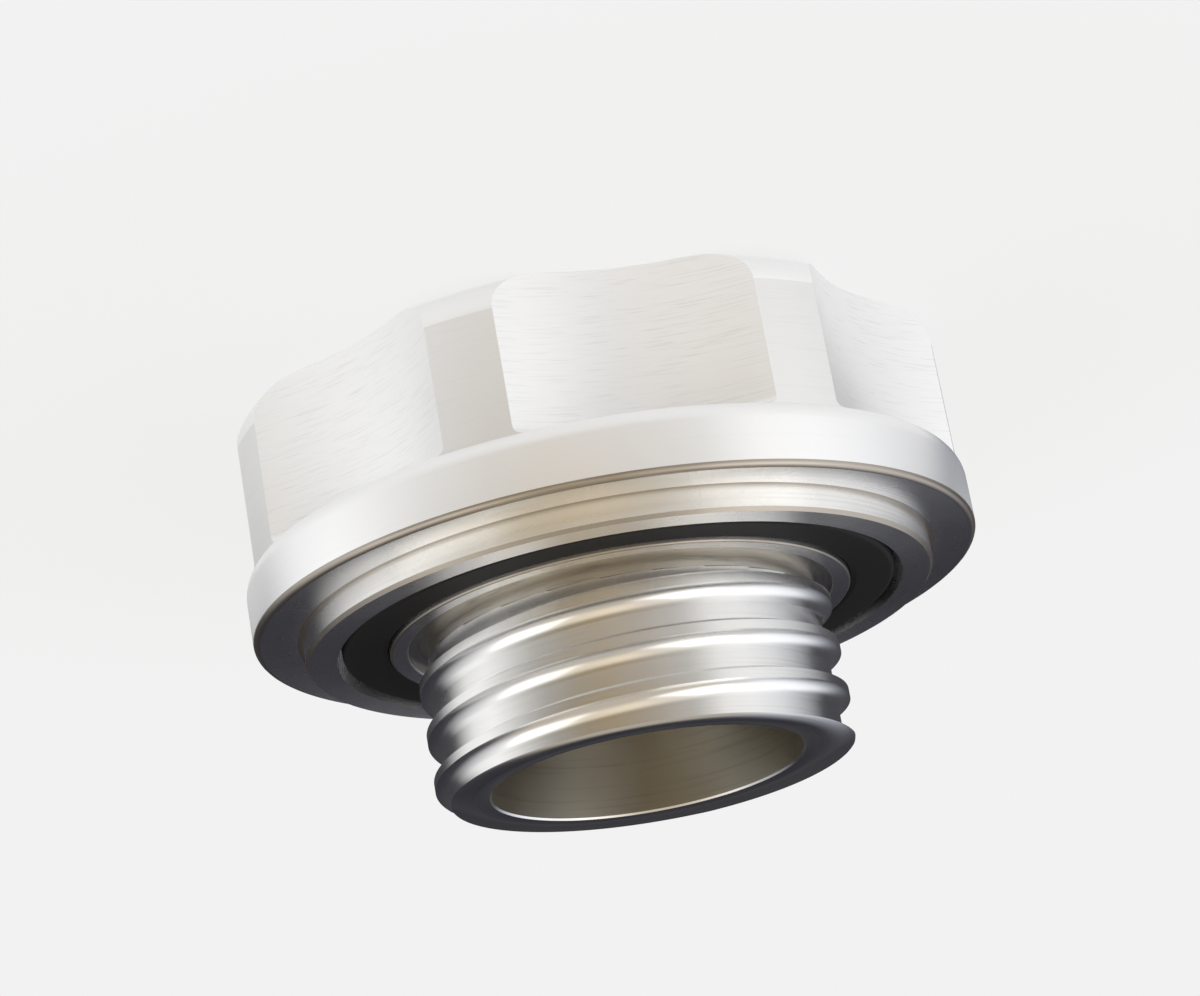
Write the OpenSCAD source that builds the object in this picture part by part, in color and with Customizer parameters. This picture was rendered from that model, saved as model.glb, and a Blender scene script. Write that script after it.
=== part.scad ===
// Screw-in oil filler cap turned and milled from one billet of aluminium, with a rubber
// sealing ring in its face. It stands on the flat top of its head, so its plug points up.
// Millimetres, +Z up, origin at the centre of the head's top face.

/* [Head] */
// Diameter over the crowns of the lobes
head_d = 60; // [54:0.5:60.5]
// Height of the lobed grip, from the top face to the flange
head_h = 13.7; // [10:0.1:18]
// Number of lobes round the grip
lobes = 7; // [5:1:9]
// Radius of the hollow milled between two lobes
scallop_r = 24; // [18:0.5:40]
// Depth of that hollow below the crowns
scallop_depth = 4.2; // [2:0.1:5]
// Corner radius at the foot of each hollow
scallop_fillet = 0.7; // [0.3:0.1:3]
// Radius on the edge of the top face
head_round = 3.1; // [1:0.1:4]
// Turn of the lobes about the axis, counted from +X
grip_turn = 29; // [0:1:51]

/* [Flange] */
// Diameter of the flange
flange_d = 61; // [60.5:0.5:70]
// Thickness of the flange
flange_h = 5.3; // [4:0.1:8]
// Radius on the flange's edge at the grip side
flange_round = 1.9; // [1.8:0.1:2.6]
// Height taken up by that radius
flange_band = 1.2; // [0.8:0.1:1.3]
// Radius on the flange's edge at the seat side
flange_edge = 0.5; // [0.2:0.1:1]

/* [Sealing face] */
// Diameter of the raised seat under the flange
seat_d = 52.9; // [51:0.1:56]
// Height of the seat
seat_h = 2.1; // [1.5:0.1:4]
// Bevel on the seat's outer edge
seat_bevel = 0.3; // [0.1:0.05:0.6]
// Radius on both edges of the collar inside the sealing ring
collar_round = 0.2; // [0.1:0.05:0.4]
// Outer diameter of the groove for the sealing ring
groove_outer_d = 47.7; // [46:0.1:49]
// Inner diameter of that groove
groove_inner_d = 38.9; // [37.5:0.1:40]
// Depth of the groove below the seat
groove_depth = 2.8; // [1.5:0.1:4]
// Diameter of the relief turned where the plug leaves the seat
relief_d = 35.8; // [35.2:0.1:36.8]
// Depth of the relief below the seat
relief_depth = 0.5; // [0.2:0.1:1]

/* [Sealing ring] */
// Radial gap between the ring and the inner wall of its groove
inner_gap = 0.05; // [0.02:0.01:0.15]
// Radial gap between the ring and the outer wall of its groove
outer_gap = 0.5; // [0.2:0.05:0.9]
// Distance from the ring's face down to the level of the seat
ring_sink = 0.2; // [0:0.05:0.6]
// Radius on the corners of the ring's section
ring_round = 0.6; // [0.2:0.1:0.9]

/* [Plug] */
// Length of the plug beyond the seat
plug_l = 13.2; // [11:0.1:20]
// Diameter of the neck between the seat and the thread
neck_d = 32.7; // [32:0.1:32.7]
// Distance from the seat to the thread
neck_l = 0.9; // [0.6:0.1:2]
// Height of the bevel that leads from the neck to the thread
neck_bevel = 0.4; // [0.2:0.1:0.8]
// Bevel on the plug's free end
plug_bevel = 0.2; // [0.1:0.05:0.6]
// Diameter of the hollow in the plug
bore_d = 26.1; // [20:0.1:28]
// Depth of the hollow from the free end
bore_l = 22; // [10:0.5:26]
// Bevel at the mouth of the hollow
bore_bevel = 0.15; // [0.1:0.05:0.8]
// Radius between the wall and the floor of the hollow
bore_fillet = 1.5; // [0.5:0.1:3]

/* [Thread] */
// Outer diameter of the thread
thread_d = 35; // [34.6:0.1:35.1]
// Lead of the single-start, right-hand thread
pitch = 4; // [3.8:0.1:4.6]
// Radial depth of the thread
thread_depth = 1.1; // [0.9:0.05:1.1]
// Width of the flat on the crest
crest_w = 0.75; // [0.6:0.05:0.9]
// Axial length of the straight flank on the head's side
flank_l = 0.5; // [0.4:0.05:1]
// Axial length of the hollow flank on the free end's side
hollow_l = 1.4; // [1.2:0.05:1.6]
// Place of the crest round the plug, counted from +X
thread_phase = 39; // [0:1:360]

/* [Hidden] */
$fn = 128;
// Overlap that keeps cutters and joined solids from ending on a shared face
eps = 0.5;

flange_z = head_h;
seat_z = flange_z + flange_h;
face_z = seat_z + seat_h;
end_z = face_z + plug_l;
thread_z = face_z + neck_l;

head_r = head_d / 2;
flange_r = flange_d / 2;
seat_r = seat_d / 2;
neck_r = neck_d / 2;
thread_r = thread_d / 2;
bore_r = bore_d / 2;
scallop_axis = head_r - scallop_depth + scallop_r;

groove_floor = face_z - groove_depth;
ring_inner_r = groove_inner_d / 2 + inner_gap;
ring_outer_r = groove_outer_d / 2 - outer_gap;
ring_h = groove_depth - ring_sink;

// Section of the thread's groove: an arc down from the lower crest, a flat root, a straight flank
arc_r = (hollow_l * hollow_l + thread_depth * thread_depth) / (2 * thread_depth);
arc_steps = 4;
turn_steps = 60;
// How far the groove's cutter stands out of the crests
cutter_proud = 0.25;
arc_angle = acos(1 - (thread_depth + cutter_proud) / arc_r);
root_r = thread_r - thread_depth;
root_l = pitch - crest_w - flank_l;
groove_section = concat(
    [for (i = [0:arc_steps])
        let (a = arc_angle * (1 - i / arc_steps))
            [root_r + arc_r * (1 - cos(a)), hollow_l - arc_r * sin(a)]],
    [[root_r, root_l], [thread_r + cutter_proud, root_l + flank_l * (1 + cutter_proud / thread_depth)]]
);
// The cutter starts a turn below the thread and ends past the free end
cutter_z = thread_z - pitch - flank_l;
cutter_steps = ceil((end_z - cutter_z + eps) / pitch * turn_steps);

function section_ring(i) =
    let (turn = i / turn_steps, a = thread_phase + 360 * turn)
        [for (p = groove_section) [p[0] * cos(a), p[0] * sin(a), cutter_z + pitch * turn + p[1]]];

// Solid swept by the section as it climbs the helix
module thread_cutter() {
    n = len(groove_section);
    points = [for (i = [0:cutter_steps]) each section_ring(i)];
    sides = [for (i = [0:cutter_steps - 1], j = [0:n - 1])
        let (k = (j + 1) % n, a = i * n + j, b = i * n + k, c = a + n, d = b + n)
            each [[a, d, b], [a, c, d]]];
    first = [for (j = [0:n - 1]) j];
    last = [for (j = [n - 1:-1:0]) cutter_steps * n + j];
    polyhedron(points, concat(sides, [first, last]), convexity = 10);
}

// Square of side r with a quarter circle taken out of it, which rounds a corner
module corner_waste(r) {
    difference() {
        square(r + eps);
        circle(r);
    }
}

// Turned outline of the grip, the flange and the seat, with its grooves
module head_outline() {
    difference() {
        union() {
            square([head_r, flange_z + flange_band]);
            flange_outline();
            polygon([
                [0, seat_z - eps], [seat_r, seat_z - eps], [seat_r, face_z - seat_bevel],
                [seat_r - seat_bevel, face_z], [0, face_z]
            ]);
        }
        translate([head_r - head_round, head_round])
            mirror([0, 1]) corner_waste(head_round);
        translate([groove_inner_d / 2, groove_floor])
            square([(groove_outer_d - groove_inner_d) / 2, groove_depth + eps]);
        translate([0, face_z - relief_depth])
            square([relief_d / 2, relief_depth + eps]);
        translate([groove_inner_d / 2 - collar_round, face_z - collar_round])
            corner_waste(collar_round);
        translate([relief_d / 2 + collar_round, face_z - collar_round])
            mirror([1, 0]) corner_waste(collar_round);
    }
}

// The radius at the grip side runs on into the grip, which covers its lower part
module flange_outline() {
    low = flange_z + flange_band - flange_round;
    difference() {
        translate([0, low]) square([flange_r, seat_z - low]);
        translate([flange_r - flange_round, flange_z + flange_band])
            mirror([0, 1]) corner_waste(flange_round);
        translate([flange_r - flange_edge, seat_z - flange_edge])
            corner_waste(flange_edge);
    }
}

// Milling cutter for one hollow of the grip, with its rounded corner at the foot
module scallop_cutter() {
    translate([scallop_axis, 0, 0])
        rotate_extrude()
            difference() {
                translate([0, -eps]) square([scallop_r, flange_z + eps]);
                translate([scallop_r - scallop_fillet, flange_z - scallop_fillet])
                    corner_waste(scallop_fillet);
            }
}

module head() {
    difference() {
        rotate_extrude() head_outline();
        for (i = [0:lobes - 1])
            rotate([0, 0, grip_turn + 360 * (i + 0.5) / lobes]) scallop_cutter();
    }
}

// Neck and threaded plug, still solid, rooted below the groove of the head
module plug() {
    difference() {
        rotate_extrude()
            polygon([
                [0, groove_floor - eps], [neck_r, groove_floor - eps], [neck_r, thread_z],
                [thread_r, thread_z + neck_bevel], [thread_r, end_z - plug_bevel],
                [thread_r - plug_bevel, end_z], [0, end_z]
            ]);
        thread_cutter();
    }
}

module hollow_outline() {
    difference() {
        union() {
            translate([0, end_z - bore_l]) square([bore_r, bore_l + eps]);
            polygon([
                [0, end_z - bore_bevel], [bore_r, end_z - bore_bevel],
                [bore_r + bore_bevel + eps, end_z + eps], [0, end_z + eps]
            ]);
        }
        translate([bore_r - bore_fillet, end_z - bore_l + bore_fillet])
            mirror([0, 1]) corner_waste(bore_fillet);
    }
}

module cap_body() {
    color("silver")
        difference() {
            union() {
                head();
                plug();
            }
            rotate_extrude() hollow_outline();
        }
}

// Flat rubber ring with rounded corners, seated on the floor of its groove
module seal_ring() {
    color("dimgray")
        rotate_extrude()
            translate([ring_inner_r, groove_floor])
                union() {
                    translate([ring_round, 0])
                        square([ring_outer_r - ring_inner_r - 2 * ring_round, ring_h]);
                    translate([0, ring_round])
                        square([ring_outer_r - ring_inner_r, ring_h - 2 * ring_round]);
                    for (x = [ring_round, ring_outer_r - ring_inner_r - ring_round],
                         y = [ring_round, ring_h - ring_round])
                        translate([x, y]) circle(ring_round);
                }
}

cap_body();
seal_ring();
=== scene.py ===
"""Studio picture of a screw-in oil filler cap of turned and milled aluminium.

The cap stands on the flat top of its grip, plug up, and the camera is held upside down,
so that the picture shows the grip above and the threaded plug below.
"""

from __future__ import annotations

import logging
import math
from dataclasses import dataclass, field
from enum import IntEnum

import bpy
import numpy as np
from mathutils import Matrix, Vector

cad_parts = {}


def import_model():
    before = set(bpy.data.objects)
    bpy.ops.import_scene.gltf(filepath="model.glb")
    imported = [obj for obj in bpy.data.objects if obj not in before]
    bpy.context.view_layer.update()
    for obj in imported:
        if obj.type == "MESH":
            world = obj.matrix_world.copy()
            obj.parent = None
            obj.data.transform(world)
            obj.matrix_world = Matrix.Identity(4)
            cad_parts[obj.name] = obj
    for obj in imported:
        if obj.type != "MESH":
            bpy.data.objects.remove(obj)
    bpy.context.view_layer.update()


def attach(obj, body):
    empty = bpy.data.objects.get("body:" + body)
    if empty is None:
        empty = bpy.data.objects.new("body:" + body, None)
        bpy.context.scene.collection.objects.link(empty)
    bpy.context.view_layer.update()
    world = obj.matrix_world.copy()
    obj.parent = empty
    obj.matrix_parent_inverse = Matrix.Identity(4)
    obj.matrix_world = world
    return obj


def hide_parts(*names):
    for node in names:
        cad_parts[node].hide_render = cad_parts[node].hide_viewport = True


LOG = logging.getLogger("oil_filler_cap")
MM = 1e-3
Colour = tuple[float, float, float]
Point = tuple[float, float]
Pair = tuple[np.ndarray, np.ndarray]


# Sizes of the cap


@dataclass(frozen=True)
class Grip:
    """Lobed grip of the head, in millimetres.

    Attributes:
        radius: Radius over the crowns of the lobes.
        height: Height from the top face to the flange.
        lobes: Number of lobes.
        turn_deg: Azimuth of the first lobe's middle in degrees, from +X.
        scallop_radius: Radius of the hollow milled between two lobes.
        scallop_depth: Depth of that hollow below the crowns.
        scallop_fillet: Radius at the foot of each hollow.
        head_round: Radius on the edge of the top face.
    """

    radius: float = 30.0
    height: float = 13.7
    lobes: int = 7
    turn_deg: float = 29.0
    scallop_radius: float = 24.0
    scallop_depth: float = 4.2
    scallop_fillet: float = 0.7
    head_round: float = 3.1

    @property
    def scallop_axis(self) -> float:
        """Distance of a milling cutter's axis from the cap's axis."""
        return self.radius - self.scallop_depth + self.scallop_radius


@dataclass(frozen=True)
class Flange:
    """Flange between the grip and the seat, in millimetres.

    Attributes:
        radius: Radius of the flange.
        height: Thickness of the flange.
        upper_round: Radius on the edge at the grip side.
        upper_band: Height taken up by that radius.
        lower_round: Radius on the edge at the seat side.
    """

    radius: float = 30.5
    height: float = 5.3
    upper_round: float = 1.9
    upper_band: float = 1.2
    lower_round: float = 0.5


@dataclass(frozen=True)
class Seat:
    """Raised sealing face with its groove and its relief, in millimetres.

    Attributes:
        radius: Radius of the seat.
        height: Height of the seat above the flange.
        bevel: Bevel on its outer edge.
        groove_outer: Radius of the groove's outer wall.
        groove_inner: Radius of the groove's inner wall.
        groove_depth: Depth of the groove.
        relief_radius: Radius of the relief where the plug leaves the seat.
        relief_depth: Depth of that relief.
        collar_round: Radius on both edges of the collar inside the groove.
        painted_corner_shade: Width of the dark line painted round the foot of the seat, painted shade in
            the corner between flange and seat.
    """

    radius: float = 26.45
    height: float = 2.1
    bevel: float = 0.3
    groove_outer: float = 23.85
    groove_inner: float = 19.45
    groove_depth: float = 2.8
    relief_radius: float = 17.9
    relief_depth: float = 0.5
    collar_round: float = 0.2
    # Painted shade: width of a dark strip of edge colour in the corner at the seat's foot
    painted_corner_shade: float = 0.45


@dataclass(frozen=True)
class Ring:
    """Rubber sealing ring in its groove, in millimetres.

    Attributes:
        inner: Inner radius.
        outer: Outer radius.
        sink: Distance of its face below the seat.
        rounding: Radius on the corners of its section.
    """

    inner: float = 19.5
    outer: float = 23.35
    sink: float = 0.2
    rounding: float = 0.6


@dataclass(frozen=True)
class Plug:
    """Hollow plug with its neck, in millimetres.

    Attributes:
        length: Length beyond the seat.
        neck_radius: Radius of the neck between the seat and the thread.
        neck_length: Distance from the seat to the thread.
        neck_bevel: Height of the bevel that leads to the thread.
        end_bevel: Bevel on the free end.
        bore_radius: Radius of the hollow.
        bore_length: Depth of the hollow from the free end.
        bore_bevel: Bevel at the mouth of the hollow.
        bore_fillet: Radius between the wall and the floor of the hollow.
        end_lean: Lean of the end face's shading at its rim, outwards, in degrees.
        mouth_lean: Lean of the same at the mouth, inwards, so that it looks polished round.
    """

    length: float = 13.2
    neck_radius: float = 16.35
    neck_length: float = 0.9
    neck_bevel: float = 0.4
    end_bevel: float = 0.2
    bore_radius: float = 13.05
    bore_length: float = 22.0
    bore_bevel: float = 0.15
    bore_fillet: float = 1.5
    end_lean: float = 37.0
    mouth_lean: float = 14.0


@dataclass(frozen=True)
class Thread:
    """Coarse right-hand, single-start thread, in millimetres.

    Attributes:
        radius: Radius over the crests.
        pitch: Lead of the helix.
        depth: Radial depth.
        crest: Width of the flat on the crest.
        flank: Axial length of the straight flank on the head's side.
        hollow: Axial length of the hollow flank on the plug's side.
        phase_deg: Azimuth of the crest at the thread's start in degrees, from +X.
    """

    radius: float = 17.5
    pitch: float = 4.0
    depth: float = 1.1
    crest: float = 0.75
    flank: float = 0.5
    hollow: float = 1.4
    phase_deg: float = 39.0

    @property
    def root_end(self) -> float:
        """Distance from a crest's plug-side edge to the end of the root."""
        return self.pitch - self.crest - self.flank

    @property
    def arc_radius(self) -> float:
        """Radius of the hollow flank that falls away from the crest's plug side."""
        return (self.hollow**2 + self.depth**2) / (2 * self.depth)


@dataclass(frozen=True)
class Cap:
    """The whole cap, with the heights that its parts share."""

    grip: Grip = Grip()
    flange: Flange = Flange()
    seat: Seat = Seat()
    ring: Ring = Ring()
    plug: Plug = Plug()
    thread: Thread = Thread()

    @property
    def seat_z(self) -> float:
        """Height of the flange's plug side."""
        return self.grip.height + self.flange.height

    @property
    def face_z(self) -> float:
        """Height of the sealing face."""
        return self.seat_z + self.seat.height

    @property
    def thread_z(self) -> float:
        """Height at which the thread starts."""
        return self.face_z + self.plug.neck_length

    @property
    def end_z(self) -> float:
        """Height of the plug's free end."""
        return self.face_z + self.plug.length


# Meshes


# Keeps points that lie on the welding grid's own half steps from being rounded apart
WELD_SHIFT = 0.1234


class Finish(IntEnum):
    """Named surfaces of the billet, in the order of the body's material slots."""

    LOBE = 0
    SCALLOP = 1
    RIM = 2
    FACE = 3
    THREAD = 4
    NECK = 5
    BORE = 6
    END = 7
    # Painted shade: dark lines on small roundings and in the corner at the seat's foot
    EDGE = 8


@dataclass
class Patch:
    """Grid of points with their normals and one material.

    Attributes:
        points: Array of rows x columns x 3, in millimetres.
        normals: Unit normals of the same shape.
        slot: Index of the material slot.
    """

    points: np.ndarray
    normals: np.ndarray
    slot: int

    def quads(self) -> np.ndarray:
        """Corners of every face, as indices into the grid's points."""
        rows, cols = self.points.shape[:2]
        ids = np.arange(rows * cols).reshape(rows, cols)
        corners = (ids[:-1, :-1], ids[:-1, 1:], ids[1:, 1:], ids[1:, :-1])
        return np.stack(corners, axis=-1).reshape(-1, 4)


@dataclass
class Shell:
    """Closed surface put together from patches that share their borders.

    Attributes:
        name: Name of the mesh and of its object.
        weld: Distance in millimetres within which points become one.
        patches: The patches so far.
    """

    name: str
    weld: float = 1e-5
    patches: list[Patch] = field(default_factory=list)

    def add(self, points: np.ndarray, slot: int, normals: np.ndarray | None = None) -> None:
        """Adds a patch, with normals from its own slopes where none are given.

        Args:
            points: Grid of rows x columns x 3.
            slot: Index of the material slot.
            normals: Unit normals of the grid.
        """
        if normals is None:
            normals = grid_normals(points)
        self.patches.append(Patch(points, normals, slot))

    def turn(self, stretches: list[tuple[int, np.ndarray]], angles: np.ndarray) -> None:
        """Adds a patch for each stretch of a profile turned about the axis.

        Args:
            stretches: Material slot and profile of each stretch.
            angles: Angles in radians, with the last one a full turn past the first.
        """
        for slot, profile in stretches:
            points, normals = revolve(profile, angles)
            self.add(points, slot, normals)

    def build(self, materials: list[bpy.types.Material]) -> bpy.types.Object:
        """Welds the patches into one mesh object.

        Corners that fall on one point are taken once, so that a quad that closes to a point
        at one side becomes a triangle, and one that closes to a line is left out.

        Args:
            materials: Material slots, in the order of the patches' indices.

        Returns:
            The object, linked to the scene, with its place in its mesh.
        """
        points = np.concatenate([p.points.reshape(-1, 3) for p in self.patches])
        normals = np.concatenate([p.normals.reshape(-1, 3) for p in self.patches])
        keys = np.round(points / self.weld + WELD_SHIFT).astype(np.int64)
        _, first, welded = np.unique(keys, axis=0, return_index=True, return_inverse=True)
        quads = [patch.quads() for patch in self.patches]
        starts = np.cumsum([0] + [len(p.points.reshape(-1, 3)) for p in self.patches])
        slots = np.repeat([p.slot for p in self.patches], [len(q) for q in quads])
        corners = np.concatenate([q + start for q, start in zip(quads, starts)])
        ring = welded.reshape(-1)[corners]
        taken = np.ones(ring.shape, dtype=bool)
        for i in range(1, ring.shape[1]):
            taken[:, i] = (ring[:, :i] != ring[:, i : i + 1]).all(axis=1)
        faces = taken.sum(axis=1) >= 3
        taken &= faces[:, None]
        sizes = taken.sum(axis=1)[faces]
        mesh = bpy.data.meshes.new(self.name)
        mesh.vertices.add(len(first))
        mesh.vertices.foreach_set("co", (points[first] * MM).ravel())
        mesh.loops.add(int(sizes.sum()))
        mesh.loops.foreach_set("vertex_index", ring[taken].astype(np.int32))
        mesh.polygons.add(len(sizes))
        mesh.polygons.foreach_set("loop_start", (np.cumsum(sizes) - sizes).astype(np.int32))
        for material in materials:
            mesh.materials.append(material)
        mesh.polygons.foreach_set("material_index", slots[faces].astype(np.int32))
        mesh.polygons.foreach_set("use_smooth", np.ones(len(sizes), dtype=bool))
        mesh.update(calc_edges=True)
        mesh.normals_split_custom_set(normals[corners[taken]].tolist())
        self.report(mesh)
        obj = bpy.data.objects.new(self.name, mesh)
        bpy.context.scene.collection.objects.link(obj)
        return obj

    def report(self, mesh: bpy.types.Mesh) -> None:
        """Logs the mesh's size and the edges that don't have two faces.

        Args:
            mesh: The welded mesh.
        """
        edges = np.empty(len(mesh.loops), dtype=np.int32)
        mesh.loops.foreach_get("edge_index", edges)
        odd = int(np.count_nonzero(np.bincount(edges, minlength=len(mesh.edges)) != 2))
        LOG.info("%s: %d faces, %d odd edges", self.name, len(mesh.polygons), odd)


def grid_normals(points: np.ndarray) -> np.ndarray:
    """Unit normals of a grid from its slopes along both directions.

    Args:
        points: Array of rows x columns x 3.

    Returns:
        Array of the same shape, pointing to columns-cross-rows.
    """
    order = [2 if n > 2 else 1 for n in points.shape[:2]]
    rows = np.gradient(points, axis=0, edge_order=order[0])
    cols = np.gradient(points, axis=1, edge_order=order[1])
    normals = np.cross(cols, rows)
    return normals / np.maximum(np.linalg.norm(normals, axis=-1, keepdims=True), 1e-12)


def polar(radius: np.ndarray, angle: np.ndarray, height: np.ndarray) -> np.ndarray:
    """Points from polar coordinates.

    Args:
        radius: Distances from the axis.
        angle: Angles in radians.
        height: Heights.

    Returns:
        Array with a last axis of three.
    """
    radius, angle, height = np.broadcast_arrays(radius, angle, height)
    return np.stack([radius * np.cos(angle), radius * np.sin(angle), height], axis=-1)


def revolve(profile: np.ndarray, angles: np.ndarray) -> Pair:
    """Turns a smooth stretch of profile about the axis.

    Each point keeps its radius and height at every angle, and its normal is the profile's
    own slope turned by a quarter.

    Args:
        profile: Array of (radius, height), running so that the solid lies on its left.
        angles: Angles in radians, with the last one a full turn past the first.

    Returns:
        The grid of points and its unit normals.
    """
    slope = np.gradient(profile, axis=0, edge_order=2 if len(profile) > 2 else 1)
    slope /= np.linalg.norm(slope, axis=1, keepdims=True)
    points = polar(profile[:, :1], angles[None, :], profile[:, 1:])
    normals = polar(slope[:, 1:], angles[None, :], -slope[:, :1])
    return points, normals


def arc(centre: Point, radius: float, start: float, end: float, steps: int) -> np.ndarray:
    """Circular stretch of a profile.

    Args:
        centre: Radius and height of the arc's centre.
        radius: Radius of the arc.
        start: First angle in degrees, counted from outward to up.
        end: Last angle in degrees.
        steps: Number of intervals.

    Returns:
        Array of (radius, height).
    """
    angle = np.radians(np.linspace(start, end, steps + 1))
    return np.stack([centre[0] + radius * np.cos(angle), centre[1] + radius * np.sin(angle)], axis=1)


def line(start: Point, end: Point, steps: int = 1) -> np.ndarray:
    """Straight stretch of a profile.

    Args:
        start: First radius and height.
        end: Last radius and height.
        steps: Number of intervals.

    Returns:
        Array of (radius, height).
    """
    return np.linspace(start, end, steps + 1)


@dataclass(frozen=True)
class GripSurface:
    """Surface of the grip, in columns that follow the edges of its lobes.

    Attributes:
        grip: Sizes of the grip.
        lobe_steps: Columns on one lobe.
        scallop_steps: Columns on one hollow.
        round_rows: Rows on the rounded edge of the top face.
        wall_rows: Rows on the straight wall.
        fillet_rows: Rows on the radius at the foot of the hollows.
    """

    grip: Grip
    lobe_steps: int = 8
    scallop_steps: int = 40
    round_rows: int = 14
    wall_rows: int = 6
    fillet_rows: int = 6

    def rows(self) -> Pair:
        """Heights of the rows, and the milling cutter's radius at each.

        The heights crowd together on the rounded edge and on the foot's radius, in equal
        angles, and the cutter narrows by a quarter circle at the foot.
        """
        g = self.grip
        fillet = np.radians(np.linspace(0, 90, self.fillet_rows + 1))
        low = g.height - g.scallop_fillet
        rounding = np.radians(np.linspace(90, 0, self.round_rows + 1))
        height = np.concatenate([
            g.head_round * (1 - np.sin(rounding)),
            np.linspace(g.head_round, low, self.wall_rows + 1)[1:],
            (low + g.scallop_fillet * np.sin(fillet))[1:],
        ])
        straight = np.full(self.round_rows + self.wall_rows + 1, g.scallop_radius)
        curved = (g.scallop_radius - g.scallop_fillet * (1 - np.cos(fillet)))[1:]
        return height, np.concatenate([straight, curved])

    def crown(self, height: np.ndarray) -> np.ndarray:
        """Radius of the turned blank at each height."""
        g = self.grip
        above = np.clip(g.head_round - height, 0, g.head_round)
        return g.radius - g.head_round + np.sqrt(g.head_round**2 - above**2)

    def half_angle(self) -> np.ndarray:
        """Half of a hollow's angle at each row, in radians.

        It is the angle at the cap's axis in the triangle of the two axes and the point
        where the cutter's circle meets the crown's, by the law of cosines.
        """
        height, cutter = self.rows()
        crown, axis = self.crown(height), self.grip.scallop_axis
        return np.arccos((crown**2 + axis**2 - cutter**2) / (2 * crown * axis))

    def scallop(self, middle: float) -> np.ndarray:
        """Grid of one hollow, at the near crossing of each ray with the cutter's circle.

        Args:
            middle: Angle of its middle in radians.

        Returns:
            Points of rows x columns x 3.
        """
        height, cutter = self.rows()
        across = np.linspace(-1, 1, self.scallop_steps + 1)[None, :] * self.half_angle()[:, None]
        axis = self.grip.scallop_axis
        root = np.sqrt(np.maximum(cutter[:, None] ** 2 - (axis * np.sin(across)) ** 2, 0))
        return polar(axis * np.cos(across) - root, middle + across, height[:, None])

    def lobe(self, middle: float) -> np.ndarray:
        """Grid of one lobe's crown, from the rounded edge to the flange.

        Args:
            middle: Angle of its middle in radians.

        Returns:
            Points of rows x columns x 3.
        """
        height, _ = self.rows()
        half = math.pi / self.grip.lobes - self.half_angle()
        across = np.linspace(-1, 1, self.lobe_steps + 1)[None, :] * half[:, None]
        return polar(self.crown(height)[:, None], middle + across, height[:, None])

    def outline(self, row: int) -> Pair:
        """Closed outline at one row, as radii and rising angles."""
        pitch = 2 * math.pi / self.grip.lobes
        turn = math.radians(self.grip.turn_deg)
        radii, angles = [], []
        for i in range(self.grip.lobes):
            for grid, middle in ((self.lobe(0), i * pitch), (self.scallop(0), (i + 0.5) * pitch)):
                ring = grid[row, :-1]
                radii.append(np.hypot(ring[:, 0], ring[:, 1]))
                angles.append(turn + middle + np.arctan2(ring[:, 1], ring[:, 0]))
        radius, angle = np.concatenate(radii), np.concatenate(angles)
        return np.append(radius, radius[0]), np.append(angle, angle[0] + 2 * math.pi)


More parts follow.
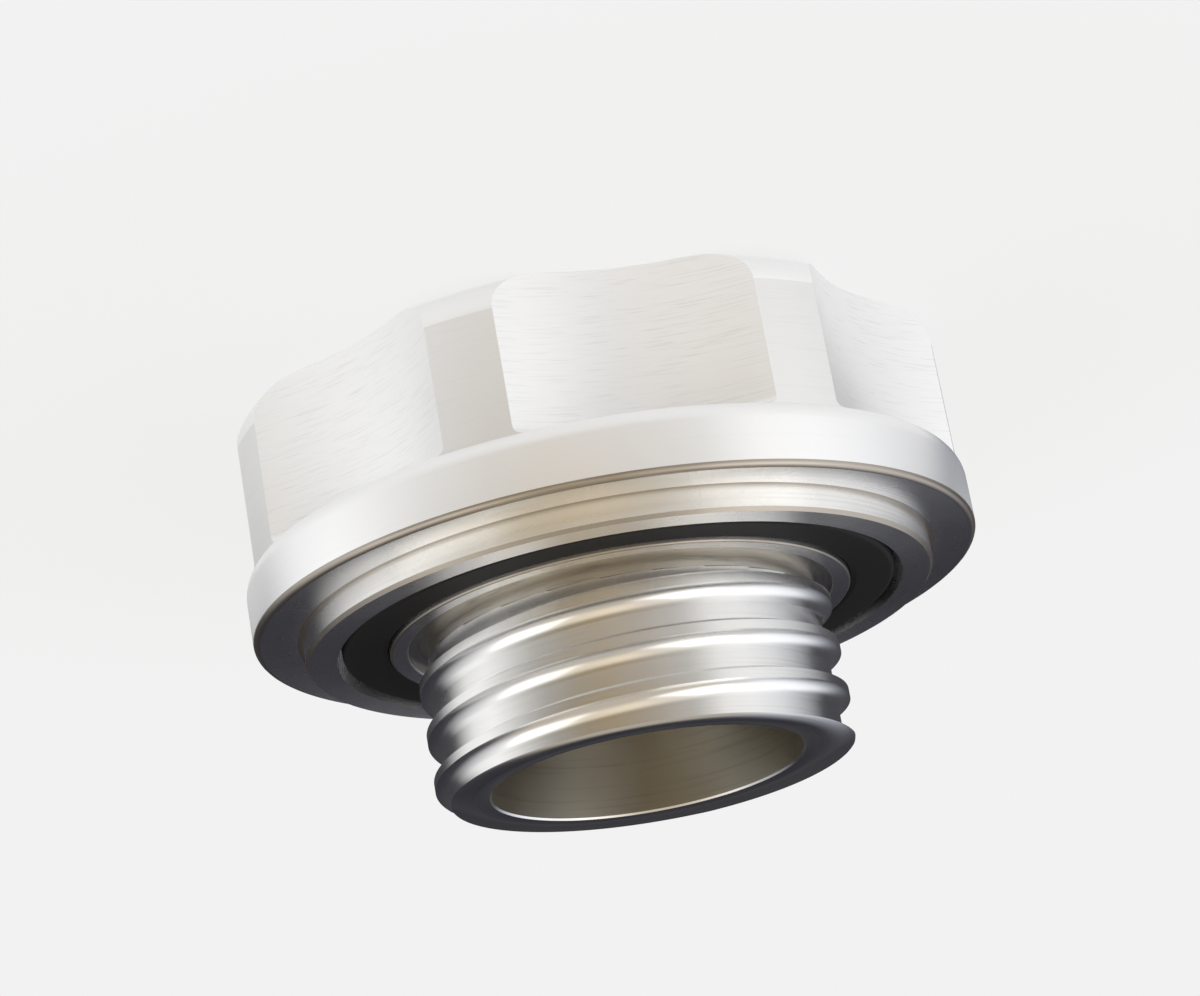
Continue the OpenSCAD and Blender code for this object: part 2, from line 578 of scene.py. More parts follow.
@dataclass(frozen=True)
class ThreadSurface:
    """Threaded wall of the plug, in strips that climb with the helix.

    Attributes:
        cap: Sizes of the cap.
        arc_rows: Rows on the hollow flank.
        root_rows: Rows on the root.
        flank_rows: Rows on the straight flank.
        crest_rows: Rows on the crest.
        step: Half of the span over which the wall's slope is taken, in millimetres.
    """

    cap: Cap
    arc_rows: int = 9
    root_rows: int = 8
    flank_rows: int = 6
    crest_rows: int = 7
    step: float = 1e-3

    def edge(self, angle: np.ndarray) -> np.ndarray:
        """Height of the lowest crest's plug-side edge round the plug."""
        t = self.cap.thread
        start = self.cap.thread_z - t.pitch - t.flank
        return start + t.pitch * (angle - math.radians(t.phase_deg)) / (2 * math.pi)

    def radius(self, along: np.ndarray, height: np.ndarray) -> np.ndarray:
        """Radius of the wall.

        One turn runs up from a crest as a circle's arc to the root, stays on it, and climbs
        a straight flank to the next crest. The neck's and the end's bevels cut it short.

        Args:
            along: Height above a crest's plug-side edge.
            height: Height in the cap.

        Returns:
            Radii of the same shape.
        """
        cap, t, p = self.cap, self.cap.thread, self.cap.plug
        q = np.mod(along, t.pitch)
        root = t.radius - t.depth
        rest = np.clip(t.hollow - q, 0, None)
        hollow = root + t.arc_radius - np.sqrt(t.arc_radius**2 - rest**2)
        flank = root + t.depth * np.clip((q - t.root_end) / t.flank, 0, 1)
        wall = np.where(q < t.root_end, hollow, flank)
        neck = p.neck_radius + (t.radius - p.neck_radius) * (height - cap.thread_z) / p.neck_bevel
        end = t.radius - p.end_bevel + (cap.end_z - height)
        return np.minimum(np.minimum(wall, neck), end)

    def strips(self, angles: np.ndarray) -> list[Pair]:
        """Grids of points and normals of every flank and crest.

        Args:
            angles: Columns in radians, a full turn.

        Returns:
            Pairs of points and unit normals.
        """
        t = self.cap.thread
        edges = self.edge(angles)
        ends = (0.0, t.hollow, t.root_end, t.root_end + t.flank, t.pitch)
        rows = (self.arc_rows, self.root_rows, self.flank_rows, self.crest_rows)
        spans = [np.linspace(low, high, n + 1) for low, high, n in zip(ends, ends[1:], rows)]
        low = math.floor((self.cap.thread_z - edges.max()) / t.pitch) - 1
        high = math.ceil((self.cap.end_z - edges.min()) / t.pitch) + 1
        made = []
        for k in range(low, high):
            for span in spans:
                height = edges[None, :] + k * t.pitch + span[:, None]
                if height.max() < self.cap.thread_z or height.min() > self.cap.end_z:
                    continue
                made.append(self.strip(angles, edges + k * t.pitch, span))
        return made

    def strip(self, angles: np.ndarray, edges: np.ndarray, span: np.ndarray) -> Pair:
        """One strip, cut off at the thread's start and at the plug's end.

        The normal leans by the slope of the section, and on the helix also by the share of
        that slope that the lead turns sideways.

        Args:
            angles: Columns in radians.
            edges: Height of the crest's plug-side edge at each column.
            span: Heights of the rows above that edge.

        Returns:
            Points and unit normals.
        """
        cap, t, step = self.cap, self.cap.thread, self.step
        height = np.clip(edges[None, :] + span[:, None], cap.thread_z, cap.end_z)
        radius = self.radius(height - edges[None, :], height)
        low, high = edges + span[0] + 2 * step, edges + span[-1] - 2 * step
        middle = np.clip(height, low[None, :], high[None, :])
        middle = np.clip(middle, cap.thread_z + 2 * step, cap.end_z - 2 * step)
        above, below = middle + step, middle - step
        climb = self.radius(above - edges[None, :], above) - self.radius(below - edges[None, :], below)
        slope = climb / (2 * step)
        bevels = cap.thread_z + cap.plug.neck_bevel, cap.end_z - cap.plug.end_bevel
        helical = (height > bevels[0]) & (height < bevels[1])
        around = np.where(helical, t.pitch / (2 * math.pi) * slope, 0)
        normal = np.stack([
            radius * np.cos(angles) - around * np.sin(angles),
            radius * np.sin(angles) + around * np.cos(angles),
            -radius * slope,
        ], axis=-1)
        normal /= np.linalg.norm(normal, axis=-1, keepdims=True)
        return polar(radius, angles[None, :], height), normal


def body_profile(cap: Cap) -> list[tuple[Finish, np.ndarray]]:
    """Turned stretches from the flange's grip side to the thread.

    Args:
        cap: Sizes of the cap.

    Returns:
        Finish and profile of each stretch, in order.
    """
    f, s, p = cap.flange, cap.seat, cap.plug
    base, under, face = cap.grip.height, cap.seat_z, cap.face_z
    start = -math.degrees(math.asin(f.upper_band / f.upper_round))
    band = arc((f.radius - f.upper_round, base + f.upper_band), f.upper_round, start, 0, 8)
    low = arc((f.radius - f.lower_round, under - f.lower_round), f.lower_round, 0, 90, 6)
    floor = face - s.groove_depth
    cut = s.collar_round
    relief = face - s.relief_depth
    return [
        (Finish.RIM, np.concatenate([band, line(band[-1], low[0], 4)[1:]])),
        # Stretches with the shaded edge finish are painted dark lines, painted shade on small roundings
        (Finish.EDGE, low),
        (Finish.FACE, line(low[-1], (s.radius + s.painted_corner_shade, under), 4)),
        # Painted shade: a dark strip in the corner at the seat's foot
        (Finish.EDGE, line((s.radius + s.painted_corner_shade, under), (s.radius, under))),
        (Finish.FACE, line((s.radius, under), (s.radius, face - s.bevel))),
        (Finish.EDGE, line((s.radius, face - s.bevel), (s.radius - s.bevel, face))),
        (Finish.FACE, line((s.radius - s.bevel, face), (s.groove_outer, face), 3)),
        (Finish.FACE, line((s.groove_outer, face), (s.groove_outer, floor))),
        (Finish.FACE, line((s.groove_outer, floor), (s.groove_inner, floor))),
        (Finish.FACE, line((s.groove_inner, floor), (s.groove_inner, face - cut))),
        (Finish.EDGE, arc((s.groove_inner - cut, face - cut), cut, 0, 90, 4)),
        (Finish.FACE, line((s.groove_inner - cut, face), (s.relief_radius + cut, face), 2)),
        (Finish.FACE, arc((s.relief_radius + cut, face - cut), cut, 90, 180, 4)),
        # The neck's darker, warmer colour is painted shade in the relief under the seat
        (Finish.NECK, line((s.relief_radius, face - cut), (s.relief_radius, relief))),
        (Finish.NECK, line((s.relief_radius, relief), (p.neck_radius, relief), 2)),
        (Finish.NECK, line((p.neck_radius, relief), (p.neck_radius, cap.thread_z), 3)),
    ]


def bore_profile(cap: Cap) -> list[tuple[Finish, np.ndarray]]:
    """Turned stretches from the mouth of the plug's hollow to its floor.

    Args:
        cap: Sizes of the cap.

    Returns:
        Finish and profile of each stretch, in order.
    """
    p, end = cap.plug, cap.end_z
    floor = end - p.bore_length
    corner = (p.bore_radius - p.bore_fillet, floor + p.bore_fillet)
    fillet = arc(corner, p.bore_fillet, 0, -90, 6)
    return [
        (Finish.FACE, line((p.bore_radius + p.bore_bevel, end), (p.bore_radius, end - p.bore_bevel))),
        # The hollow's darker, warmer colour is painted shade in the bore
        (Finish.BORE, line((p.bore_radius, end - p.bore_bevel), fillet[0], 6)),
        (Finish.BORE, fillet),
        (Finish.BORE, line(fillet[-1], (0.0, floor), 4)),
    ]


# Rings of faces on the head's top face and on the plug's end face
TOP_RINGS = 5
LIP_RINGS = 6
DOWN = (0.0, 0.0, -1.0)


def build_body(cap: Cap, materials: list[bpy.types.Material]) -> bpy.types.Object:
    """Makes the aluminium body: grip, top face, ledge, turned stretches, thread, end, hollow.

    Args:
        cap: Sizes of the cap.
        materials: Materials in the order of Finish.

    Returns:
        The body's object.
    """
    shell = Shell("cap_body_shown")
    surface = GripSurface(cap.grip)
    pitch, turn = 2 * math.pi / cap.grip.lobes, math.radians(cap.grip.turn_deg)
    split = surface.round_rows
    for i in range(cap.grip.lobes):
        lobe = surface.lobe(turn + i * pitch)
        # The lobes' rounded top edges take the lighter rim colour, a painted highlight against the darker
        # lobe colour
        shell.add(lobe[: split + 1], Finish.RIM)
        shell.add(lobe[split:], Finish.LOBE)
        shell.add(surface.scallop(turn + (i + 0.5) * pitch), Finish.SCALLOP)
    radius, angle = surface.outline(0)
    spokes = np.linspace(0, 1, TOP_RINGS + 1)[:, None]
    top = polar(radius[None, :] * spokes, angle[None, :], 0)
    shell.add(top, Finish.FACE, np.broadcast_to(DOWN, top.shape))
    radius, angle = surface.outline(-1)
    body = body_profile(cap)
    foot = np.stack([radius, np.full_like(radius, body[0][1][0, 0])])
    ledge = polar(foot, angle[None, :], cap.grip.height)
    shell.add(ledge, Finish.RIM, np.broadcast_to(DOWN, ledge.shape))
    shell.turn(body, angle)
    thread = ThreadSurface(cap)
    for points, normals in thread.strips(angle):
        shell.add(points, Finish.THREAD, normals)
    outer = thread.radius(cap.end_z - thread.edge(angle), np.full_like(angle, cap.end_z))
    mouth = cap.plug.bore_radius + cap.plug.bore_bevel
    share = np.linspace(0, 1, LIP_RINGS + 1)[:, None]
    lip = polar(outer + (mouth - outer) * share, angle[None, :], cap.end_z)
    lean = np.radians(cap.plug.end_lean * (1 - share) - cap.plug.mouth_lean * share)
    shell.add(lip, Finish.END, polar(np.sin(lean), angle[None, :], np.cos(lean)))
    shell.turn(bore_profile(cap), angle)
    return shell.build(materials)


RING_COLUMNS = 256


def build_ring(cap: Cap, material: bpy.types.Material) -> bpy.types.Object:
    """Makes the rubber ring, four rounded corners joined by straight stretches.

    Args:
        cap: Sizes of the cap.
        material: Its rubber.

    Returns:
        The ring's object.
    """
    r, s = cap.ring, cap.seat
    low, high, e = cap.face_z - s.groove_depth, cap.face_z - r.sink, r.rounding
    corners = [
        arc((r.outer - e, low + e), e, -90, 0, 6),
        arc((r.outer - e, high - e), e, 0, 90, 6),
        arc((r.inner + e, high - e), e, 90, 180, 6),
        arc((r.inner + e, low + e), e, 180, 270, 6),
    ]
    shell = Shell("seal_ring_shown")
    angles = np.linspace(0, 2 * math.pi, RING_COLUMNS + 1)
    for corner, following in zip(corners, corners[1:] + corners[:1]):
        shell.turn([(0, corner), (0, line(corner[-1], following[0], 2))], angles)
    return shell.build([material])


# Materials


@dataclass(frozen=True)
class Metal:
    """Look of one machined surface.

    Attributes:
        name: Name of the material.
        colour: Base colour, lighter or darker from one surface to the next as painted highlight and
            painted shade, not the metal's own.
        roughness: Mean roughness.
        anisotropy: How far highlights are drawn out across the tool marks.
        marks: Tool marks per millimetre.
        turned: 1 for marks that a lathe leaves, 0 for those that run level round the grip.
        around: How often a tool mark changes in a radian round the axis.
        relief: Height of the tool marks in millimetres.
        patches: Strength of the slow change in roughness.
        tint: Share of the light that the deepest tool marks keep back.
    """

    name: str
    colour: Colour
    roughness: float
    anisotropy: float
    marks: float
    turned: float
    around: float
    relief: float
    patches: float
    tint: float


@dataclass(frozen=True)
class Rubber:
    """Look of the moulded ring.

    Attributes:
        name: Name of the material.
        colour: Colour of the rubber.
        roughness: Roughness, the same all round.
        gloss: Strength of the surface's own reflection, where 0.5 is plain plastic.
        grain: Scale of the fine grain that the mould leaves.
        relief: Height of that grain in millimetres.
    """

    name: str = "black_rubber"
    colour: Colour = (0.01, 0.01, 0.011)
    roughness: float = 0.6
    gloss: float = 0.2
    grain: float = 2500.0
    relief: float = 0.002


# In the order of Metal's attributes
# The colours are lit and shaded copies of one aluminium: scallops and rims are painted lighter, a painted
# highlight;
# lobes, face, thread and end darker, painted shade; neck and bore darker and warmer, painted shade in
# those recesses
METALS = {
    Finish.LOBE: Metal("billet_lobe", (0.86, 0.857, 0.85), 0.33, 0.9, 5.0, 0, 4.0, 0.0003, 0.03, 0.03),
    Finish.SCALLOP: Metal("billet_scallop", (0.97, 0.97, 0.97), 0.36, 0.85, 8.0, 0, 8.0, 0.001, 0.05, 0.1),
    Finish.RIM: Metal("billet_rim", (0.97, 0.97, 0.97), 0.32, 0.9, 6.0, 1, 1.0, 0.0005, 0.03, 0.02),
    Finish.FACE: Metal("billet_face", (0.86, 0.85, 0.83), 0.27, 0.9, 5.0, 1, 1.0, 0.0008, 0.04, 0.08),
    Finish.THREAD: Metal("billet_thread", (0.78, 0.775, 0.77), 0.22, 0.5, 5.0, 1, 1.0, 0.0006, 0.04, 0.06),
    Finish.NECK: Metal("billet_neck", (0.58, 0.55, 0.50), 0.30, 0.6, 3.0, 1, 4.0, 0.008, 0.1, 0.3),
    Finish.BORE: Metal("billet_bore", (0.57, 0.54, 0.47), 0.30, 0.8, 3.0, 1, 1.0, 0.001, 0.06, 0.15),
    Finish.END: Metal("billet_end", (0.66, 0.66, 0.66), 0.22, 0.2, 5.0, 1, 1.0, 0.001, 0.05, 0.2),
    # Painted shade: the darkest copy, for dark lines on small edges
    Finish.EDGE: Metal("billet_edge_shade", (0.42, 0.38, 0.33), 0.36, 0.5, 3.0, 1, 3.0, 0.001, 0.05, 0.2),
}
SCALARS = ("Marks", "Turned", "Around", "Relief", "Patches", "Tint", "Roughness")
# Size of the slow change in roughness, and detail of that noise and of the marks' own
SLOW_SCALE = 140.0
NOISE_DETAIL = 3.0
# Noise above which a tool mark counts as deep, and where it is deepest
DEEP = (0.5, 0.75)
# Quarter turn, so that highlights are drawn out across the marks
ACROSS_MARKS = 0.25


class Nodes:
    """Small helper that adds and joins shader nodes."""

    def __init__(self, tree: bpy.types.NodeTree) -> None:
        self.tree = tree

    @classmethod
    def blank(cls, owner: bpy.types.Material | bpy.types.World) -> Nodes:
        """Empties the node tree of a material or a world, and gives the helper on it."""
        owner.use_nodes = True
        owner.node_tree.nodes.clear()
        return cls(owner.node_tree)

    def feed(self, socket: bpy.types.NodeSocket, value: object) -> None:
        """Links an input to another node's output, or sets it to a number or a colour."""
        if isinstance(value, bpy.types.NodeSocket):
            self.tree.links.new(value, socket)
        else:
            socket.default_value = (*value, 1.0) if isinstance(value, tuple) else value

    def add(self, kind: str, inputs: dict | None = None, **settings: object) -> bpy.types.Node:
        """Adds a node.

        Args:
            kind: Type of the node.
            inputs: Sockets or constants by the name or the number of the input.
            **settings: Properties of the node.

        Returns:
            The node.
        """
        node = self.tree.nodes.new(kind)
        for key, value in settings.items():
            setattr(node, key, value)
        for key, value in (inputs or {}).items():
            self.feed(node.inputs[key], value)
        return node

    def math(self, operation: str, *values: object) -> bpy.types.NodeSocket:
        """Output of a math node fed by sockets or numbers."""
        return self.add("ShaderNodeMath", dict(enumerate(values)), operation=operation).outputs[0]

    def noise(self, scale: float, detail: float, place: bpy.types.NodeSocket) -> bpy.types.NodeSocket:
        """Value of a noise texture over some coordinates."""
        inputs = {"Scale": scale, "Detail": detail, "Vector": place}
        return self.add("ShaderNodeTexNoise", inputs).outputs[0]

    def rise(self, value: bpy.types.NodeSocket, low: float, high: float) -> bpy.types.NodeSocket:
        """0 below one value and 1 above another, with a smooth step between them."""
        inputs = {"Value": value, "From Min": low, "From Max": high}
        return self.add("ShaderNodeMapRange", inputs, interpolation_type="SMOOTHSTEP").outputs[0]

    def blend(self, share: bpy.types.NodeSocket, first: object, second: object) -> bpy.types.NodeSocket:
        """Mix of two colours, whose inputs on the node are the sixth and the seventh."""
        inputs = {"Factor": share, 6: first, 7: second}
        return self.add("ShaderNodeMix", inputs, data_type="RGBA").outputs[2]

    def bump(self, height: bpy.types.NodeSocket, distance: object) -> bpy.types.NodeSocket:
        """Normal of a bump from a height, by a distance in metres."""
        return self.add("ShaderNodeBump", {"Height": height, "Distance": distance}).outputs[0]


def tool_marks_group() -> bpy.types.NodeTree:
    """Node group with the marks that a turning or milling tool leaves round the axis.

    The marks are noise over (direction round the axis, distance across the marks), so that
    they are long round the axis and narrow across. Across runs up the height, and for
    turned marks also out along the radius.

    Returns:
        The group, with the surface's base colour and the tool marks' measures going in, and Color,
        Roughness and Normal coming out.
    """
    tree = bpy.data.node_groups.new("tool_marks", "ShaderNodeTree")
    for name in SCALARS:
        tree.interface.new_socket(name, in_out="INPUT", socket_type="NodeSocketFloat")
    tree.interface.new_socket("Color", in_out="INPUT", socket_type="NodeSocketColor")
    tree.interface.new_socket("Color", in_out="OUTPUT", socket_type="NodeSocketColor")
    tree.interface.new_socket("Roughness", in_out="OUTPUT", socket_type="NodeSocketFloat")
    tree.interface.new_socket("Normal", in_out="OUTPUT", socket_type="NodeSocketVector")
    n = Nodes(tree)
    given = n.add("NodeGroupInput").outputs
    place = n.add("ShaderNodeTexCoord").outputs["Object"]
    x, y, z = n.add("ShaderNodeSeparateXYZ", {0: place}).outputs
    radius = n.math("SQRT", n.math("ADD", n.math("MULTIPLY", x, x), n.math("MULTIPLY", y, y)))
    across = n.math("ADD", n.math("MULTIPLY", radius, given["Turned"]), z)
    across = n.math("MULTIPLY", n.math("DIVIDE", across, MM), given["Marks"])
    around = n.math("DIVIDE", given["Around"], n.math("MAXIMUM", radius, 0.01 * MM))
    sides = {0: n.math("MULTIPLY", x, around), 1: n.math("MULTIPLY", y, around), 2: across}
    streak = n.noise(1.0, NOISE_DETAIL, n.add("ShaderNodeCombineXYZ", sides).outputs[0])
    slow = n.noise(SLOW_SCALE, NOISE_DETAIL, place)
    shift = n.math("MULTIPLY", n.math("SUBTRACT", slow, 0.5), given["Patches"])
    shade = n.math("MULTIPLY", n.rise(streak, *DEEP), given["Tint"])
    tint = {0: given["Color"], "Scale": n.math("SUBTRACT", 1.0, shade)}
    n.add("NodeGroupOutput", {
        "Color": n.add("ShaderNodeVectorMath", tint, operation="SCALE").outputs[0],
        "Roughness": n.math("ADD", given["Roughness"], n.math("MULTIPLY", shift, 2.0)),
        "Normal": n.bump(streak, n.math("MULTIPLY", given["Relief"], MM)),
    })
    return tree


def metal_material(look: Metal, marks: bpy.types.NodeTree) -> bpy.types.Material:
    """Makes one machined surface.

    Args:
        look: Its look.
        marks: The group with the tool marks.

    Returns:
        The material.
    """
    material = bpy.data.materials.new(look.name)
    n = Nodes.blank(material)
    measures = {name: getattr(look, name.lower()) for name in SCALARS}
    group = n.add("ShaderNodeGroup", node_tree=marks)
    for name, value in (measures | {"Color": look.colour}).items():
        n.feed(group.inputs[name], value)
    shader = n.add("ShaderNodeBsdfPrincipled", {
        "Metallic": 1.0,
        "Anisotropic": look.anisotropy,
        "Anisotropic Rotation": ACROSS_MARKS,
        "Base Color": group.outputs["Color"],
        "Roughness": group.outputs["Roughness"],
        "Normal": group.outputs["Normal"],
        "Tangent": n.add("ShaderNodeTangent", direction_type="RADIAL", axis="Z").outputs[0],
    })
    n.add("ShaderNodeOutputMaterial", {"Surface": shader.outputs[0]})
    return material


def rubber_material(look: Rubber) -> bpy.types.Material:
    """Makes the ring's rubber.

    Args:
        look: Its look.

    Returns:
        The material.
    """
    material = bpy.data.materials.new(look.name)
    n = Nodes.blank(material)
    grain = n.noise(look.grain, 2.0, n.add("ShaderNodeTexCoord").outputs["Object"])
    shader = n.add("ShaderNodeBsdfPrincipled", {
        "Base Color": look.colour,
        "Roughness": look.roughness,
        "Specular IOR Level": look.gloss,
        "Normal": n.bump(grain, look.relief * MM),
    })
    n.add("ShaderNodeOutputMaterial", {"Surface": shader.outputs[0]})
    return material


# Stage, light and camera


Stops = tuple[tuple[float, Colour], ...]


@dataclass(frozen=True)
class Studio:
    """Pale table and the room round it.

    Attributes:
        pale: Grey level of the background.
        shade: Share of the floor's brightness that takes the cap's shadow.
        table: Radius of the round table in metres.
        fade: Radius from which the shadow fades out towards the table's edge.
        dim: Colour that the metal shows of the table's shaded sector.
        sector: Azimuths in degrees where that sector starts, is whole, and ends again.
        reach: Radii in metres between which that sector fades out.
        low: Stops of (azimuth in degrees, colour) round the room, level with the cap.
        high: The same, above the cap.
        ceiling: Colour overhead.
        walls: Sines of elevation between which low gives way to high.
        overhead: The same between which high gives way to the ceiling.
    """

    pale: Colour = (0.888, 0.888, 0.888)
    shade: float = 0.1
    table: float = 0.087
    fade: float = 0.05
    # dim: Colour that the metal mirrors from one sector of the table, a painted dark reflection; the
    # camera sees the table pale there.
    dim: Colour = (0.24, 0.26, 0.31)
    sector: tuple[float, float, float, float] = (90.0, 112.0, 152.0, 177.0)
    reach: Point = (0.062, 0.076)
    low: Stops = (
        (-180.0, (0.9, 0.91, 0.93)),
        (-160.0, (1.1, 1.1, 1.1)),
        (-142.0, (1.05, 1.04, 1.02)),
        (-124.0, (0.55, 0.53, 0.49)),
        (-98.0, (0.42, 0.36, 0.28)),
        (-76.0, (0.38, 0.29, 0.17)),
        (-58.0, (0.34, 0.28, 0.19)),
        (-40.0, (0.4, 0.38, 0.34)),
        (-26.0, (0.65, 0.64, 0.61)),
        (-12.0, (1.0, 0.99, 0.97)),
        (0.0, (1.2, 1.2, 1.2)),
        (18.0, (1.05, 1.05, 1.05)),
        (42.0, (0.05, 0.05, 0.055)),
        (140.0, (0.07, 0.07, 0.08)),
        (160.0, (0.5, 0.51, 0.54)),
    )
    high: Stops = (
        (-180.0, (1.35, 1.37, 1.42)),
        (-162.0, (1.3, 1.3, 1.32)),
        (-140.0, (1.0, 0.97, 0.93)),
        (-112.0, (0.85, 0.78, 0.68)),
        (-92.0, (1.05, 0.9, 0.7)),
        (-62.0, (0.9, 0.79, 0.62)),
        (-42.0, (0.95, 0.9, 0.8)),
        (-26.0, (1.15, 1.13, 1.08)),
        (0.0, (1.05, 1.05, 1.05)),
        (26.0, (0.6, 0.6, 0.62)),
        (50.0, (0.04, 0.04, 0.05)),
        (100.0, (0.03, 0.03, 0.04)),
        (122.0, (0.5, 0.52, 0.58)),
        (140.0, (1.1, 1.12, 1.18)),
        (160.0, (1.3, 1.32, 1.38)),
    )
    ceiling: Colour = (0.6, 0.54, 0.45)
    walls: Point = (0.1, 0.38)
    overhead: Point = (0.72, 0.92)


TABLE_SIDES = 128


def pale_ray(n: Nodes) -> bpy.types.NodeSocket:
    """1 for rays from the camera and for those that metal or glass sends on."""
    path = n.add("ShaderNodeLightPath")
    seen = n.math("MAXIMUM", path.outputs["Is Camera Ray"], path.outputs["Is Glossy Ray"])
    return n.math("MAXIMUM", seen, path.outputs["Is Transmission Ray"])


def build_floor(studio: Studio) -> bpy.types.Object:
    """Makes the pale table that the cap stands on.

    Args:
        studio: The studio's settings.

    Returns:
        The floor's object.
    """
    mesh = bpy.data.meshes.new("floor")
    turn = np.linspace(0, 2 * math.pi, TABLE_SIDES, endpoint=False)
    rim = np.stack([np.cos(turn), np.sin(turn), np.zeros_like(turn)], axis=1) * studio.table
    mesh.from_pydata(rim.tolist(), [], [tuple(range(len(rim)))])
    material = bpy.data.materials.new("floor_pale")
    n = Nodes.blank(material)
    place = n.add("ShaderNodeTexCoord").outputs["Object"]
    reach = n.add("ShaderNodeVectorMath", {0: place}, operation="LENGTH").outputs["Value"]
    fade = n.rise(reach, studio.fade, studio.table)
    unshaded = n.math("ADD", n.math("MULTIPLY", fade, studio.shade), 1.0 - studio.shade)
    x, y, _ = n.add("ShaderNodeSeparateXYZ", {0: place}).outputs
    turn = n.math("ARCTAN2", y, x)
    # Painted dark reflection: in one sector, mirrored rays see the dim colour while the camera sees the
    # table pale
    start, whole, last, end = (math.radians(angle) for angle in studio.sector)
    sector = n.math("SUBTRACT", n.rise(turn, start, whole), n.rise(turn, last, end))
    within = n.math("SUBTRACT", 1.0, n.rise(reach, *studio.reach))
    mirrored = n.add("ShaderNodeLightPath").outputs["Is Glossy Ray"]
    dimmed = n.math("MULTIPLY", n.math("MULTIPLY", sector, within), mirrored)
    glow = n.add("ShaderNodeEmission", {"Color": n.blend(dimmed, studio.pale, studio.dim)})
    matt = n.add("ShaderNodeBsdfDiffuse", {"Color": studio.pale})
    share = n.math("MULTIPLY", pale_ray(n), unshaded)
    mix = n.add("ShaderNodeMixShader", {0: share, 1: matt.outputs[0], 2: glow.outputs[0]})
    n.add("ShaderNodeOutputMaterial", {"Surface": mix.outputs[0]})
    mesh.materials.append(material)
    floor = bpy.data.objects.new("floor", mesh)
    bpy.context.scene.collection.objects.link(floor)
    return floor


def room_ramp(n: Nodes, turn: bpy.types.NodeSocket, stops: Stops) -> bpy.types.NodeSocket:
    """Colour of the room round the cap, at one height.

    Args:
        n: The world's nodes.
        turn: Share of a full turn, from -180 degrees.
        stops: Azimuths and colours, in rising order from -180 degrees.

    Returns:
        The colour.
    """
    ramp = n.add("ShaderNodeValToRGB", {0: turn})
    ramp.color_ramp.interpolation = "LINEAR"
    elements = ramp.color_ramp.elements
    for i, (angle, colour) in enumerate(stops):
        place = (angle + 180) / 360
        stop = elements[0] if i == 0 else elements.new(place)
        stop.position = place
        stop.color = (*colour, 1.0)
    elements.remove(elements[-1])
    last = elements.new(1.0)
    last.color = (*stops[0][1], 1.0)
    return ramp.outputs[0]


def build_world(studio: Studio) -> None:
    """Makes the room whose walls the metal shows, while the camera sees a pale backdrop.

    Args:
        studio: The studio's settings.
    """
    world = bpy.data.worlds.new("room")
    bpy.context.scene.world = world
    n = Nodes.blank(world)
    away = n.add("ShaderNodeTexCoord").outputs["Generated"]
    x, y, z = n.add("ShaderNodeSeparateXYZ", {0: away}).outputs
    turn = n.math("ADD", n.math("DIVIDE", n.math("ARCTAN2", y, x), 2 * math.pi), 0.5)
    low, high = room_ramp(n, turn, studio.low), room_ramp(n, turn, studio.high)
    walls = n.blend(n.rise(z, *studio.walls), low, high)
    room = n.blend(n.rise(z, *studio.overhead), walls, studio.ceiling)
    seen = n.add("ShaderNodeLightPath").outputs["Is Camera Ray"]
    back = n.add("ShaderNodeBackground", {"Color": n.blend(seen, room, studio.pale)})
    n.add("ShaderNodeOutputWorld", {"Surface": back.outputs[0]})


SENSOR_MM = 36.0
# Nearest and farthest distance that the camera sees, in metres
CLIP_M = (0.01, 20.0)


@dataclass(frozen=True)
class Shot:
    """Where the photographer's camera is held.

    Attributes:
        lens: Focal length in millimetres, on a sensor 36 mm wide.
        elevation: Angle above the table in degrees.
        roll: Turn of the camera about its line of sight in degrees.
        aim: Place of the flange's lower rim centre in the camera's own right, down and
            forward directions, in millimetres.
        aim_height: Height of that centre in the cap.
    """

    lens: float = 106.6
    elevation: float = 18.66
    roll: float = -10.14
    aim: tuple[float, float, float] = (1.394, 8.266, 297.09)
    aim_height: float = 18.8

    def matrix(self) -> Matrix:
        """World matrix of the camera."""
        e, r = math.radians(self.elevation), math.radians(self.roll)
        right = Vector((-math.cos(r), -math.sin(r) * math.sin(e), -math.sin(r) * math.cos(e)))
        down = Vector((-math.sin(r), math.cos(r) * math.sin(e), math.cos(r) * math.cos(e)))
        forward = Vector((0.0, math.cos(e), -math.sin(e)))
        centre = Vector((0.0, 0.0, self.aim_height))
        place = centre - self.aim[0] * right - self.aim[1] * down - self.aim[2] * forward
        axes = Matrix((right, -down, -forward)).transposed().to_4x4()
        return Matrix.Translation(place * MM) @ axes


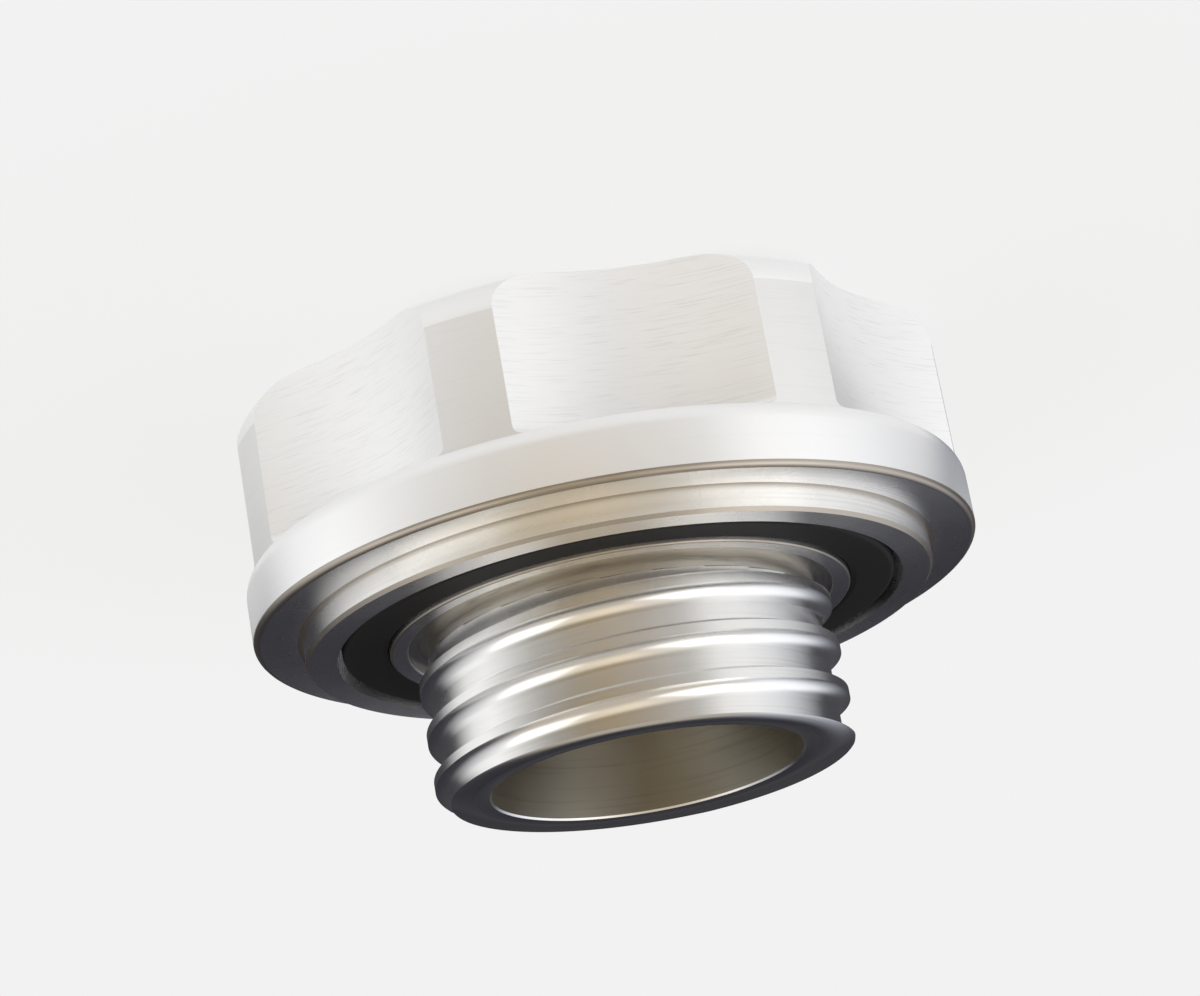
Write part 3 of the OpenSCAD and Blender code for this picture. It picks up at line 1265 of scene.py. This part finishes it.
def build_camera(shot: Shot) -> None:
    """Makes the camera and sets it as the scene's own.

    Args:
        shot: Where it is held.
    """
    data = bpy.data.cameras.new("camera")
    data.lens = shot.lens
    data.sensor_width = SENSOR_MM
    data.clip_start, data.clip_end = CLIP_M
    camera = bpy.data.objects.new("camera", data)
    camera.matrix_world = shot.matrix()
    bpy.context.scene.collection.objects.link(camera)
    bpy.context.scene.camera = camera


@dataclass(frozen=True)
class Lamp:
    """Soft lamp over the table.

    Attributes:
        name: Name of the lamp.
        azimuth: Direction round the cap in degrees, from +X.
        elevation: Direction above the table in degrees.
        distance: Distance in metres.
        size: Width of the lamp in metres.
        power: Power in watts.
        colour: Colour of its light.
    """

    name: str
    azimuth: float
    elevation: float
    distance: float
    size: float
    power: float
    colour: Colour


LAMPS = (
    Lamp("key", -150.0, 50.0, 1.0, 0.7, 1.5, (1.0, 1.0, 1.0)),
    Lamp("fill", -30.0, 40.0, 1.0, 0.7, 1.0, (1.0, 0.99, 0.97)),
)


def build_lamp(lamp: Lamp) -> None:
    """Makes one soft lamp that faces the cap.

    Args:
        lamp: Its settings.
    """
    data = bpy.data.lights.new(lamp.name, "AREA")
    data.shape = "SQUARE"
    data.size = lamp.size
    data.energy = lamp.power
    data.color = lamp.colour
    a, e = math.radians(lamp.azimuth), math.radians(lamp.elevation)
    away = Vector((math.cos(a) * math.cos(e), math.sin(a) * math.cos(e), math.sin(e)))
    obj = bpy.data.objects.new(lamp.name, data)
    facing = away.to_track_quat("Z", "Y").to_matrix().to_4x4()
    obj.matrix_world = Matrix.Translation(away * lamp.distance) @ facing
    bpy.context.scene.collection.objects.link(obj)


def corners(bounds: tuple[Vector, Vector]) -> list[list[float]]:
    """Bounds as plain lists of rounded metres."""
    return [[round(float(c), 5) for c in corner] for corner in bounds]


def main() -> None:
    """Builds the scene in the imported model's frame."""
    logging.basicConfig(level=logging.INFO)
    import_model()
    scene = bpy.context.scene
    scene.view_settings.view_transform = "Standard"
    cap = Cap()
    marks = tool_marks_group()
    metals = [metal_material(METALS[finish], marks) for finish in Finish]
    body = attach(build_body(cap, metals), "root")
    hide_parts("cap_body")
    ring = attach(build_ring(cap, rubber_material(Rubber())), "root")
    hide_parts("seal_ring")
    studio = Studio()
    build_floor(studio)
    build_world(studio)
    for lamp in LAMPS:
        build_lamp(lamp)
    build_camera(Shot())


if __name__ == "__main__":
    main()
